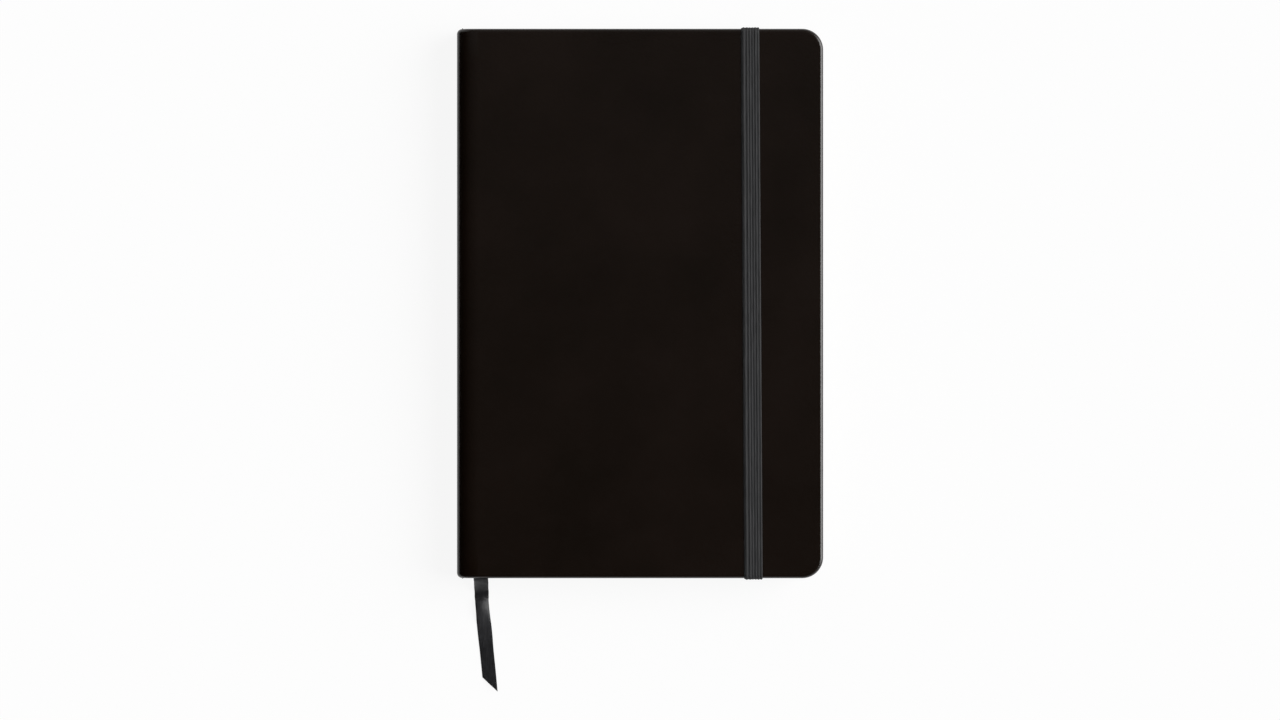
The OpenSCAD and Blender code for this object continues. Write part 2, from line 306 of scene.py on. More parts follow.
def striped_silk():
    """Silk thread, wound round a cord: two colours in turn along the band, soft sheen."""
    material, tree, place = new_material("silk_thread_wound")
    stripe = add(tree, "TexWave", {"Vector": place, "Scale": per_metre(2.8) / 2},
                 bands_direction="Z", wave_profile="SIN")
    fine = add(tree, "TexWave", {"Vector": place, "Scale": per_metre(0.22) / 2,
                                 "Distortion": 0.3}, bands_direction="Z")
    share = add(tree, "MapRange", {"Value": stripe.outputs["Fac"], "From Min": 0.46,
                                   "From Max": 0.54})
    colour = add(tree, "Mix", {0: share.outputs[0], 6: linear("#2c2b2d"), 7: linear("#d8d1bf")},
                 data_type="RGBA")
    rough = add(tree, "MapRange", {"Value": fine.outputs["Fac"], "To Min": 0.45, "To Max": 0.6})
    finish_material(tree, colour.outputs[2], rough.outputs[0], fine.outputs["Fac"], 0.02,
                    ior=1.55, Sheen_Weight=0.2)
    return material


covering = leatherette()
page_paper = paper("drawing_paper_felt_marked", "#f1ecdf", "#e4dcc9", 0.45)
end_paper = paper("endpaper_calendered", "#ece5d4", "#ddd3bd", 0.3)
board = grey_board()
lining_paper = kraft()
# The band's cover yarns lie 0.3 mm apart; they are drawn at 0.45 mm so that they show.
elastic_weave = woven("elastic_webbing_woven", "#18191a", "#414143", 0.45, 0.03, 0.72,
                      streak=(7, 0.4, 3), Sheen_Weight=0.2, Sheen_Roughness=0.4)
# Satin has about 12 wefts per millimetre; they are drawn at 0.25 mm so that they show.
satin = woven("polyester_satin_woven", "#1f1f21", "#3a3a3d", 0.25, 0.01, 0.42,
              streak=(7, 1, 3), Anisotropic=0.4, Sheen_Weight=0.15)
gauze = woven("cotton_gauze_woven", "#b9b19d", "#e5dfcf", 1.0, 0.12, 0.9)
linen = woven("linen_thread_twisted", "#cfc8b4", "#f6f2e6", 0.3, 0.04, 0.75, along="Z")
band_silk = striped_silk()


# ---- camera, straight above ----
camera_data = bpy.data.cameras.new("camera")
camera_data.lens = 213.5
camera_data.clip_end = 60
camera = bpy.data.objects.new("camera", camera_data)
camera.location = (0.0, -0.0216, 2.916)
bpy.context.collection.objects.link(camera)
bpy.context.scene.camera = camera

# ---- ribbon tail: the free end, from between the pages down to the table ----
ribbon_route = [
    (-61.0, -102.1, 7.4), (-61.0, -103.6, 7.3), (-61.0, -105.2, 6.7), (-60.9, -106.7, 5.4),
    (-60.9, -107.9, 3.8), (-60.9, -109.1, 2.1), (-60.8, -110.6, 0.8), (-60.8, -112.5, 0.3),
    (-60.7, -114.6, 0.5), (-60.5, -116.8, 0.8), (-60.3, -119.0, 0.6), (-60.1, -121.4, 0.3),
    (-59.8, -124.0, 0.2), (-59.5, -126.8, 0.2), (-59.2, -129.8, 0.2), (-58.9, -132.8, 0.2),
    (-58.6, -135.8, 0.2), (-58.3, -138.8, 0.2), (-58.0, -141.8, 0.2), (-57.6, -146.2, 0.2)]


def along_route(points, travel):
    """Point and direction at a distance along smooth curves through points, then straight on."""
    line = [points[0] * 2 - points[1]] + points + [points[-1] * 2 - points[-2]]
    for k in range(1, len(line) - 2):
        a, b = line[k], line[k + 1]
        step = (b - a).length
        if travel <= step:
            break
        travel -= step
    else:
        return b + (b - a) * (travel / step), (b - a).normalized()
    m0, m1 = (b - line[k - 1]) / 2, (line[k + 2] - a) / 2
    s = travel / step
    at = (a * (2 * s ** 3 - 3 * s ** 2 + 1) + m0 * (s ** 3 - 2 * s ** 2 + s)
          + b * (3 * s ** 2 - 2 * s ** 3) + m1 * (s ** 3 - s ** 2))
    way = (a * (6 * s ** 2 - 6 * s) + m0 * (3 * s ** 2 - 4 * s + 1)
           + b * (6 * s - 6 * s ** 2) + m1 * (3 * s ** 2 - 2 * s))
    return at, way.normalized()


def ribbon_tail():
    points = [Vector(p) for p in ribbon_route]
    length = sum((b - a).length for a, b in zip(points, points[1:]))
    # Degrees that the ribbon rolls about its own line, against millimetres from the pages
    rolls = [(0, 2), (6, 8), (10, 12), (12.4, 14), (14.6, -10), (19, -8), (26, 3), (34, 17),
             (length + 4, 17)]
    # Over its last cut_run the rows lean, until each edge is slant ahead or behind at the cut
    cut_run, slant = 9.0, 2.9
    # Where it has rolled over it is arched across, and so a little narrower
    arch_height, narrowing = 0.55, 0.06
    across = [k / 5 for k in range(-5, 6)]
    rows, verts = 76, []
    for r in range(rows):
        base = length * r / (rows - 1)
        for side in (1, -1):
            for u in (across if side > 0 else reversed(across)):
                ending = max(0.0, base - (length - cut_run)) / cut_run
                travel = base + ending * slant * u
                at, way = along_route(points, travel)
                roll = next(mix(a[1], b[1], smooth((travel - a[0]) / (b[0] - a[0])))
                            for a, b in zip(rolls, rolls[1:]) if travel <= b[0])
                flat = way.cross(Vector((0, 0, 1))).normalized() * -1
                up = flat.cross(way).normalized() * -1
                if up.z < 0:
                    up = -up
                turn = math.radians(roll)
                wide = flat * math.cos(turn) + up * math.sin(turn)
                face = up * math.cos(turn) - flat * math.sin(turn)
                lift = abs(math.sin(turn)) * ribbon_w / 2
                arch = smooth((travel - 12.2) / 2.4) * smooth((26 - travel) / 9)
                cup = arch_height * (1 - u * u) * arch
                selvedge = 1.0 if abs(u) > 0.75 else 0.7
                if abs(u) == 1:
                    selvedge = 0.35
                verts.append(at + wide * (u * ribbon_w / 2 * (1 - narrowing * arch))
                             + Vector((0, 0, lift + cup))
                             + face * (side * selvedge * ribbon_t / 2))
    ring = 2 * len(across)
    faces = quads(rows, ring, wrap=True)
    for start, flip in ((0, True), ((rows - 1) * ring, False)):
        cap = [[start + k, start + k + 1, start + ring - 2 - k, start + ring - 1 - k]
               for k in range(len(across) - 1)]
        faces += [face[::-1] if flip else face for face in cap]
    tail = piece("ribbon_marker_tail", verts, faces, satin, "text_block",
                 ["ribbon_tail"], outward=(0, 0, 1), crease=60)


ribbon_tail()


# ---- sheets with two rounded corners at the fore-edge ----
class RoundedSheet:
    """Flat grid with rounded fore-edge corners, and the rings round its three free edges."""

    def __init__(self, x0, x1, half_y, radius, inset=0.0, xs=(), ys=(), steps=12):
        self.x0, self.x1, self.half_y, self.radius = x0, x1, half_y, radius
        self.turns = [math.pi / 2 * k / steps for k in range(steps + 1)]
        r = radius - inset
        core_x, core_y = x1 - radius, half_y - radius
        columns = [x0] + sorted(xs) + [core_x + r * math.sin(a) for a in self.turns]
        upper = [core_y + r * math.cos(a) for a in reversed(self.turns)]
        middle = sorted({0.0} | set(ys) | {-y for y in ys})
        lines = [-y for y in reversed(upper)] + middle + upper
        n, last_x, last_y = steps, len(columns) - 1, len(lines) - 1
        self.points, self.index = [], {}
        for j, y in enumerate(lines):
            for i, x in enumerate(columns):
                k1, k2 = i - (last_x - n), min(j, last_y - j)
                if k1 > 0 and k2 < n and k1 > k2:
                    continue
                self.index[i, j] = len(self.points)
                self.points.append([x, y])
        self.faces = []
        for j in range(last_y):
            for i in range(last_x):
                cell = [(i, j), (i + 1, j), (i + 1, j + 1), (i, j + 1)]
                found = [self.index[c] for c in cell if c in self.index]
                if len(found) >= 3:
                    self.faces.append(found)
        # Free edge from the spine side at the tail, round the fore-edge, to the head
        self.edge = []
        for i in range(last_x - n + 1):
            self.edge.append((self.index[i, 0], columns[i], -core_y, 0.0, -1.0))
        for k in range(1, n + 1):
            a = self.turns[k]
            self.edge.append((self.index[last_x - n + k, k], core_x, -core_y,
                              math.sin(a), -math.cos(a)))
        for j in range(n + 1, last_y - n):
            self.edge.append((self.index[last_x, j], core_x, lines[j], 1.0, 0.0))
        for k in range(n, 0, -1):
            a = self.turns[k]
            self.edge.append((self.index[last_x - n + k, last_y - k], core_x, core_y,
                              math.sin(a), math.cos(a)))
        for i in range(last_x - n, -1, -1):
            self.edge.append((self.index[i, last_y], columns[i], core_y, 0.0, 1.0))
        self.core = core_x, core_y

    def ring(self, inset):
        """The edge's points drawn in by inset; past the corners' radius they keep a small one."""
        r = max(self.radius - inset, 0.5)
        wide = (self.x1 - inset - r - self.x0) / (self.core[0] - self.x0)
        high = (self.half_y - inset - r) / self.core[1]
        return [(self.x0 + (cx - self.x0) * wide + dx * r, cy * high + dy * r)
                for _, cx, cy, dx, dy in self.edge]


def in_band(x, y, margin=0.0):
    """How far a point is inside the band's width, in millimetres, with the band's lean."""
    return band_w / 2 + margin - abs(x - strap_x + math.tan(band_lean) * y)


def with_band(x, y):
    """X moved with the band's lean, fully near the band and less and less away from it."""
    near = smooth((14 - abs(x - strap_x)) / 6)
    return x - math.tan(band_lean) * y * near


def cover_skin(front):
    """Covering of one board: its face, rounded edges, and the turn-ins pleated at the corners."""
    pleats, pleat_depth = 5, 0.13
    slit_from, slit_to = slit_y - 0.95, slit_y - 0.05
    elastic_lines = [strap_x + side * u for side in (-1, 1) for u in (2.6, 3.35, 3.6, 3.8, 4.1, 5)]
    xs = spread(panel_x + 6, 34, 12) + elastic_lines + [strap_x, 52.0, 57.0]
    ys = spread(12, 84, 6) + [91.3, slit_from, slit_to, slit_y + 0.5, 95.5]
    sheet = RoundedSheet(panel_x, right, half, corner_r, inset=edge_r, xs=xs, ys=ys, steps=20)
    recess = band_t + rise

    def pressed(x, y, z):
        if front or abs(y) < slit_y - 0.5:
            return z
        return max(z, recess * smooth(in_band(x, y, 0.45) / 0.5))

    verts, faces = [], []
    for x, y in sheet.points:
        moved = with_band(x, y)
        verts.append((moved, y, pressed(moved, y, 0.0)))
    for face in sheet.faces:
        cx = sum(verts[v][0] for v in face) / len(face)
        cy = sum(verts[v][1] for v in face) / len(face)
        slit = not front and slit_from < abs(cy) < slit_to and in_band(cx, cy, 0.1) > 0
        if not slit:
            faces.append(face)
    profile = [(edge_r * (1 - math.sin(a)), edge_r * (1 - math.cos(a)))
               for a in spread(0, math.pi / 2, 9)[1:]]
    profile += [(0.0, panel_t - lip_r)]
    profile += [(lip_r * (1 - math.cos(a)), panel_t - lip_r * (1 - math.sin(a)))
                for a in spread(0, math.pi / 2, 4)[1:]]
    profile += [(inset, panel_t) for inset in (1.2, 2.2, 3.4, 6.0, 7.4, 10.0, turn_in)]
    before = [edge[0] for edge in sheet.edge]
    for inset, z in profile:
        ring, now = sheet.ring(inset), []
        for k, (x, y) in enumerate(ring):
            _, _, _, dx, dy = sheet.edge[k]
            height = z
            if z > panel_t - 0.2 and dx and dy:
                turn = math.atan2(abs(dy), dx) / (math.pi / 2)
                fold = abs(math.sin(math.pi * pleats * turn)) ** 0.6
                height = z + (pleat_depth * (fold - 1) * smooth(inset / 1.2)
                              * smooth((9 - inset) / 2))
            moved = with_band(x, y)
            if inset < edge_r and z <= edge_r:
                height = pressed(moved, y, height)
            now.append(len(verts))
            verts.append((moved, y, height))
        faces += [[before[k], now[k], now[k + 1], before[k + 1]] for k in range(len(now) - 1)]
        before = now
    if front:
        verts = [(x, y, book_t - z) for x, y, z in verts]
    name = "front" if front else "back"
    piece(name + "_cover_covering", verts, faces, covering, name + "_cover",
          [name + "_skin"], outward=(0, 0, 1 if front else -1), thick=skin_t, crease=50)


cover_skin(True)
cover_skin(False)


# ---- covering over the spine and its two bending joints ----
def case_skin(name, stations, body, node):
    """stations run round the spine: X, Z, outward direction, cap radius, depth of the turn-in."""
    rows = []
    for share in spread(0, 1, 10):
        rows.append(lambda r, d, s=share: (0.0, s * (half - r)))
    for a in spread(0, math.pi / 2, 8)[1:]:
        rows.append(lambda r, d, a=a: (r * (1 - math.cos(a)), half - r + r * math.sin(a)))
    rows += [lambda r, d: (r + 0.06, half - 0.35), lambda r, d: (mix(r, d, 0.4), half - 1.1),
             lambda r, d: (mix(r, d, 0.85), half - 2.0), lambda r, d: (d, half - 3.2),
             lambda r, d: (d, half - 7.0), lambda r, d: (d, half - 12.0)]
    order = [(row, -1) for row in reversed(rows)] + [(row, 1) for row in rows[1:]]
    verts = []
    for row, side in order:
        for x, z, nx, nz, cap, depth in stations:
            inward, y = row(cap, depth)
            verts.append((x - nx * inward, side * y, z - nz * inward))
    faces = quads(len(order), len(stations))
    middle = len(rows) - 1
    faces = faces[middle * (len(stations) - 1):] + faces[:middle * (len(stations) - 1)]
    _, _, out_x, out_z, _, _ = stations[0]
    return piece(name, verts, faces, covering, body, [node],
                 outward=(out_x, 0, out_z), thick=skin_t, crease=50)


spine_fold, joint_fold = 1.62, 0.84     # depth of the turn-in behind the spine and the joints


def shoulder(turn):
    """Point of the back rounded edge, an ellipse: 0 is on the spine's flat and 1 on the cover."""
    a = turn * math.pi / 2
    wide = panel_x - spine_x
    x, z = panel_x - wide * math.cos(a), shoulder_z * (1 - math.sin(a))
    out = Vector((-math.cos(a) / wide, 0, -math.sin(a) / shoulder_z)).normalized()
    way = (turn - stiff_turn) / (1 - stiff_turn)
    return (x, z, out.x, out.z, mix(cap_r, edge_r, smooth(way * 1.5)),
            mix(spine_fold, joint_fold, smooth(way * 2.5)))


def turned_over(stations):
    return [(x, book_t - z, nx, -nz, cap, depth) for x, z, nx, nz, cap, depth in stations]


stiff_edge = [shoulder(stiff_turn * k) for k in (0, 0.5, 0.93, 1)]
flat_spine = [(spine_x, z, -1.0, 0.0, cap_r, spine_fold)
              for z in spread(shoulder_z, book_t - shoulder_z, 5)]
case_skin("spine_covering", stiff_edge[::-1] + flat_spine[1:-1] + turned_over(stiff_edge),
          "text_block", "spine_skin")
joint_edge = [shoulder(stiff_turn), shoulder(stiff_turn * 1.07)]
joint_edge += [shoulder(turn) for turn in spread(stiff_turn * 1.5, 1, 24)]
for side, stations in (("back", joint_edge), ("front", turned_over(joint_edge))):
    joint = case_skin(side + "_joint_covering", stations, None, side + "_joint_skin")
    level = 0.0 if side == "back" else book_t * MM
    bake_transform(joint)


# ---- endpapers ----
def paste_down(front):
    """Endpaper pasted to the board; it sinks a little inside the turn-ins."""
    step, glued = 0.07, 0.06
    rim_x, rim_y = right - turn_in, half - turn_in
    pad = [] if front else [strap_x + s * u for s in (-1, 1) for u in (3.1, 4.0)]
    pad_y = [] if front else [slit_y - tuck_run - 1.4, slit_y - tuck_run - 0.4]
    xs = sorted(spread(panel_x + 8, 36, 6) + pad + [rim_x - 0.7, rim_x - 0.2, rim_x + 0.5])
    ys = [20.0, 45.0, 68.0] + pad_y + [rim_y - 0.7, rim_y - 0.2, rim_y + 0.5]
    sheet = RoundedSheet(panel_x, page_right, page_half, page_corner_r, xs=xs, ys=ys, steps=10)
    verts = []
    for x, y in sheet.points:
        inside = min(rim_x - x, rim_y - abs(y))
        z = paste_top - step * smooth((inside + 0.4) / 1.0)
        if not front:
            over_end = min(in_band(x, y, 0.3), slit_y + 0.3 - abs(y),
                           abs(y) - slit_y + tuck_run + 1.1)
            z += glued * smooth(over_end / 0.7)
        verts.append((x, y, book_t - z if front else z))
    name = "front" if front else "back"
    piece(name + "_endpaper_pasted", verts, sheet.faces, end_paper, name + "_cover",
          [name + "_paste_down"], outward=(0, 0, -1 if front else 1), thick=0.1, crease=70)


paste_down(True)
paste_down(False)

for side in ("back", "front"):
    low, high = corners(side + "_hinge_paper")
    columns, rows = spread(low[0], high[0] + 0.05, 12), spread(low[1], high[1], 12)
    top = high[2] if side == "back" else low[2]
    sheet_points = [(x, y, top) for y in rows for x in columns]
    hinge = piece(side + "_endpaper_hinge", sheet_points, quads(13, 13), end_paper,
                  None, [side + "_hinge_paper"], outward=(0, 0, 1 if side == "back" else -1),
                  thick=0.17)
    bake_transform(hinge)


# ---- loose leaves, which bend as they turn ----
def loose_leaf(node, material):
    """One leaf, made flat; it bends near its fold."""
    low, high = corners(node)
    # Columns lie closer near the fold, where the leaf bends
    xs = spread(leaf_x, -24, 34)[1:] + spread(-24, 60, 14)[1:]
    sheet = RoundedSheet(leaf_x, page_right - draw.uniform(0, 0.12), page_half, page_corner_r,
                         xs=xs, ys=[25.0, 50.0, 75.0], steps=10)
    verts = [(x, y, high[2] - 0.005) for x, y in sheet.points]
    leaf = piece(node + "_sheet", verts, sheet.faces, material, None, [node],
                 outward=(0, 0, 1), thick=high[2] - low[2] - 0.01)
    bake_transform(leaf)


loose_leaf("front_flyleaf", end_paper)
loose_leaf("first_leaf", page_paper)
loose_leaf("second_leaf", page_paper)
# The back one turns under the pages, where the floor leaves it less room to bend; it is made like
# the others
loose_leaf("back_flyleaf", end_paper)


# ---- signatures: sheets folded once and nested ----
def over_ribbon(x):
    """How fully a page lies on the ribbon at X."""
    return smooth((ribbon_w / 2 + 1.1 - abs(x - ribbon_x)) / 0.9)


def folded_sheet(verts, faces, low, high, depth, thick, trim):
    """One folded sheet at depth inside a signature that lies between low and high."""
    fold_x, level = page_x + (high - low) / 2, (low + high) / 2
    turns = [math.pi / 2 * k / 10 for k in range(11)]
    core_x, core_y = page_right - page_corner_r, page_half - page_corner_r
    flat = [(fold_x, page_half - trim)]
    flat += [(x, page_half - trim) for x in spread(-64.6, -56.6, 10)]
    flat += [(x, page_half - trim) for x in (-40.0, 0.0, 35.0)]
    flat += [(core_x + page_corner_r * math.sin(a) - trim,
              core_y + page_corner_r * math.cos(a) - trim) for a in turns]

    def path(inset):
        r = (high - low) / 2 - inset
        top = [(x, level + r, y) for x, y in reversed(flat)]
        fold = [(fold_x - r * math.sin(a), level + r * math.cos(a), page_half - trim)
                for a in spread(0, math.pi, 8)[1:-1]]
        return top + fold + [(x, level - r, y) for x, y in flat]

    start = len(verts)
    outer, inner = path(depth), path(depth + thick)
    n = len(outer)
    for side in (outer, inner):
        verts += [(x, y, z) for x, z, y in side] + [(x, -y, z) for x, z, y in side]
    o_head, o_tail, i_head, i_tail = (start + k * n for k in range(4))
    for k in range(n - 1):
        faces.append([o_head + k, o_head + k + 1, o_tail + k + 1, o_tail + k])
        faces.append([i_head + k, i_tail + k, i_tail + k + 1, i_head + k + 1])
        faces.append([o_head + k, i_head + k, i_head + k + 1, o_head + k + 1])
        faces.append([o_tail + k, o_tail + k + 1, i_tail + k + 1, i_tail + k])
    faces.append([o_head, o_tail, i_tail, i_head])
    faces.append([o_head + n - 1, i_head + n - 1, i_tail + n - 1, o_tail + n - 1])


for k in range(1, 8):
    node = "signature_%d" % k
    low, high = corners(node)
    sheets = 3 if k == 1 else 4
    pitch = (high[2] - low[2]) / (2 * sheets)
    verts, faces = [], []
    for s in range(sheets):
        folded_sheet(verts, faces, low[2], high[2], s * pitch, pitch * draw.uniform(0.86, 0.94),
                     draw.uniform(0.0, 0.14))
    if k == 4:
        deep = ribbon_t + 0.05
        verts = [(x, y, high[2] - (high[2] - z) * (1 - over_ribbon(x) * deep / (high[2] - low[2])))
                 for x, y, z in verts]
    piece(node + "_pages", verts, faces, page_paper, "text_block", [node], crease=40)


# ---- sewing, gauze and end bands on the spine of the text block ----
def twisted_thread(verts, faces, x, y, z0, z1):
    """Two plies laid round each other, with a small loop where each signature is linked."""
    ply_r, lay = 0.085, 1.1
    rings, around = 90, 6
    for ply in (0, 1):
        start = len(verts)
        for k in range(rings):
            z = mix(z0, z1, k / (rings - 1))
            turn = 2 * math.pi * (z - z0) / lay + math.pi * ply
            link = 0.03 * math.sin(math.pi * (z - block_z) / signature_t) ** 8
            cx = x + ply_r * math.cos(turn) - link
            cy = y + ply_r * math.sin(turn)
            for c in range(around):
                a = 2 * math.pi * c / around
                verts.append((cx + ply_r * math.cos(a), cy + ply_r * math.sin(a), z))
        faces += quads(rings, around, start, wrap=True)
        faces.append([start + c for c in reversed(range(around))])
        faces.append([start + (rings - 1) * around + c for c in range(around)])


def sewing():
    low, high = corners("sewing_thread")
    x, half_pair = (low[0] + high[0]) / 2, 0.34
    reach, verts, faces = high[1] - half_pair - 0.17, [], []
    for station in spread(-reach, reach, 5):
        for side in (-1, 1):
            twisted_thread(verts, faces, x, station + side * half_pair, low[2], high[2])
    piece("sewing_thread_links", verts, faces, linen, "text_block", ["sewing_thread"])


def mull():
    """Open gauze glued over the folds: its yarns stand up where they cross."""
    low, high = corners("mull_cloth")
    rows, columns = spread(low[1], high[1], 190), spread(low[2], high[2], 14)
    verts = [(low[0] + (0.16 if (r + c) % 2 else 0.02), y, z)
             for r, y in enumerate(rows) for c, z in enumerate(columns)]
    piece("mull_gauze", verts, quads(len(rows), len(columns)), gauze, "text_block",
          ["mull_cloth"], outward=(-1, 0, 0), thick=0.08, crease=60)


def end_band(node, head):
    """Cord wound with two colours of silk, on a tape that is glued down the spine."""
    low, high = corners(node)
    side = 1 if head else -1
    bead_r = 0.9
    cx, cy = low[0] + bead_r, (high[1] - bead_r) if head else -(low[1] + bead_r)
    rings, around = 44 * 4, 18      # 44 winds of four rings each
    verts, faces = [], []
    for k in range(rings + 1):
        z = mix(low[2], high[2], k / rings)
        swell = 0.05 * abs(math.sin(math.pi * k / 4))
        cap = 1 if 0 < k < rings else 0.8
        for c in range(around):
            a = 2 * math.pi * c / around
            r = (bead_r - 0.05 + swell) * cap
            verts.append((cx + r * math.cos(a), side * (cy + r * math.sin(a)), z))
    faces += quads(rings + 1, around, wrap=True)
    faces.append(list(reversed(range(around))))
    faces.append([rings * around + c for c in range(around)])
    # Tape: a thin skirt from the bead down the spine, with a scalloped free edge
    start = len(verts)
    rows, columns = 10, 45
    tape_end = (low[1] if head else -high[1]) + 0.1
    for layer in (0.0, 0.2):
        for r in range(rows):
            for c in range(columns):
                z = mix(low[2], high[2], c / (columns - 1))
                edge = tape_end + 0.2 * (1 + math.sin(2 * math.pi * c / 4))
                verts.append((low[0] + layer, side * mix(cy, edge, r / (rows - 1)), z))
    sheet = rows * columns
    faces += quads(rows, columns, start)
    faces += [face[::-1] for face in quads(rows, columns, start + sheet)]
    rim = [(0, c) for c in range(columns - 1)] + [(r, columns - 1) for r in range(rows - 1)]
    rim += [(rows - 1, c) for c in range(columns - 1, 0, -1)]
    rim += [(r, 0) for r in range(rows - 1, 0, -1)]
    ids = [start + r * columns + c for r, c in rim]
    faces += [[a, b, b + sheet, a + sheet] for a, b in zip(ids, ids[1:] + ids[:1])]
    piece(node + "_wound", verts, faces, band_silk, "text_block", [node], crease=50)


sewing()
mull()
end_band("head_band", True)
end_band("tail_band", False)


# ---- ribbon inside the book: along the pages, over the head and down the spine ----
def flat_strip(verts, faces, frames, wide, thick):
    """Sweeps a flat section with thin selvedges. Each frame is a point, a width and a face way."""
    across = [k / 4 for k in range(-4, 5)]
    start = len(verts)
    for at, width_way, face_way in frames:
        for side in (1, -1):
            for u in (across if side > 0 else reversed(across)):
                edge = 0.4 if abs(u) == 1 else (1.0 if abs(u) > 0.7 else 0.85)
                verts.append(at + width_way * (u * wide / 2) + face_way * (side * edge * thick / 2))
    ring = 2 * len(across)
    faces += quads(len(frames), ring, start, wrap=True)
    for first, flip in ((start, True), (start + (len(frames) - 1) * ring, False)):
        cap = [[first + k, first + k + 1, first + ring - 2 - k, first + ring - 1 - k]
               for k in range(len(across) - 1)]
        faces += [face[::-1] if flip else face for face in cap]


def ribbon_marker():
    low, high = ribbon_low, ribbon_high
    verts, faces = [], []
    level = block_z + 3 * signature_t + ribbon_lift
    x_way, y_way, z_way = Vector((1, 0, 0)), Vector((0, 1, 0)), Vector((0, 0, 1))
    quarter = spread(0, math.pi / 2, 6)[1:]
    bend_y, bend_r = page_half - 0.3, 0.45
    run = [(Vector((ribbon_x, y, level)), x_way, z_way)
           for y in spread(-page_half - 0.1, bend_y, 40)]
    bend = [(Vector((ribbon_x, bend_y + bend_r * math.sin(a),
                     level + bend_r * (1 - math.cos(a)))),
             x_way, z_way * math.cos(a) - y_way * math.sin(a)) for a in quarter]
    stand = [(Vector((ribbon_x, page_half + 0.15, z)), x_way, -y_way)
             for z in spread(level + bend_r, level + ribbon_w / 2 - 0.3, 5)[1:]]
    flat_strip(verts, faces, run + bend + stand, ribbon_w, ribbon_t)
    # The head part lies across the pages and turns round the spine's corner
    z_mid = (low[2] + high[2]) / 2
    x_end, x_spine = ribbon_x + ribbon_w / 2 - 0.4, low[0] + ribbon_t / 2 + 0.02
    y_head, turn_r = high[1] - ribbon_t / 2, 0.5
    cross = [(Vector((x, y_head, z_mid)), z_way, y_way)
             for x in spread(x_end, x_spine + turn_r, 10)]
    corner = [(Vector((x_spine + turn_r - turn_r * math.sin(a),
                       y_head - turn_r * (1 - math.cos(a)), z_mid)),
               z_way, y_way * math.cos(a) - x_way * math.sin(a)) for a in quarter]
    down = [(Vector((x_spine, y, z_mid)), z_way, -x_way)
            for y in spread(y_head - turn_r, high[1] - 17.8, 8)[1:]]
    flat_strip(verts, faces, cross + corner + down, ribbon_w, ribbon_t)
    piece("ribbon_marker_inside", verts, faces, satin, "text_block", ["ribbon_marker"],
          crease=50)


ribbon_marker()


# ---- elastic band ----
def band_section():
    """Ribbed section: rubber cords lie side by side under the yarns. Across and out, in mm."""
    # Across the band, and the share of its thickness: the edge on the spine side is rolled down
    crests = [(0.0, 0.2), (0.35, 0.5), (0.95, 1.0), (2.3, 0.96), (3.35, 0.86), (4.4, 0.88),
              (5.45, 0.97), (6.55, 0.9), (6.92, 0.6), (band_w, 0.3)]
    outer = []
    for (u0, h0), (u1, h1) in zip(crests, crests[1:]):
        valley = 0.24 * (u1 - u0) if u1 - u0 > 0.8 else 0.0
        count = 7 if valley else 1
        for k in range(count):
            dip = valley * math.sin(math.pi * k / count)
            outer.append((mix(u0, u1, k / count), mix(h0, h1, k / count) - dip))
    outer.append(crests[-1])
    inner = [(u, 0.0) for u, _ in reversed(outer[1:-1])]
    return [(u - band_w / 2, h * band_t) for u, h in outer + inner]


def swept_band(name, path, body, nodes=()):
    """Each run of path lists Y and Z on the side next to the book, and the way out there."""
    section = band_section()
    lean_c, lean_s = math.cos(band_lean), math.sin(band_lean)
    verts, faces = [], []
    for run in path:
        start = len(verts)
        for y, z, out_y, out_z in run:
            for u, h in section:
                py, pz = y + out_y * h, z + out_z * h
                verts.append((strap_x + u * lean_c - py * lean_s, u * lean_s + py * lean_c, pz))
        n = len(section)
        faces += quads(len(run), n, start, wrap=True)
        half_n = n // 2
        for first, flip in ((start, True), (start + (len(run) - 1) * n, False)):
            cap = [[first, first + 1, first + n - 1]]
            cap += [[first + k, first + k + 1, first + n - k - 1, first + n - k]
                    for k in range(1, half_n - 1)]
            cap += [[first + half_n - 1, first + half_n, first + half_n + 1]]
            faces += [face[::-1] if flip else face for face in cap]
    return piece(name, verts, faces, elastic_weave, body, nodes, crease=60)


def both_ends(path):
    return [path, [(-y, z, -oy, oz) for y, z, oy, oz in path]]


wrap_r = edge_r + rise
side_y = half + rise
arc_y, arc_z = half - edge_r, book_t - edge_r
lay_z = book_t + rise
head_arc = [(arc_y + wrap_r * math.sin(a), arc_z + wrap_r * math.cos(a), math.sin(a), math.cos(a))
            for a in spread(0, math.pi / 2, 8)[1:]]
leg = [(side_y, z, 1.0, 0.0) for z in spread(arc_z, leg_z, 6)[1:]]
over_head = head_arc + leg
over = [(y, lay_z, 0.0, 1.0) for y in spread(-arc_y, arc_y, 80)]
under_tail = [(-y, z, -oy, oz) for y, z, oy, oz in reversed(over_head)]
band = swept_band("elastic_band_run", [under_tail + over + over_head], "elastic_strap",
                  ["elastic_strap"])
# The band is pulled off and lies behind the book once the front cover opens.
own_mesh(band)

foot_r = 0.3
foot_z = band_t + rise + foot_r
foot = [(side_y, z, 1.0, 0.0) for z in spread(leg_z - seam, foot_z, 4)]
foot += [(side_y - foot_r + foot_r * math.cos(a), foot_z - foot_r * math.sin(a), math.cos(a),
          -math.sin(a)) for a in spread(0, math.pi / 2, 6)[1:]]
turns = swept_band("elastic_band_turns", both_ends(foot), "back_cover")
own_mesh(turns)

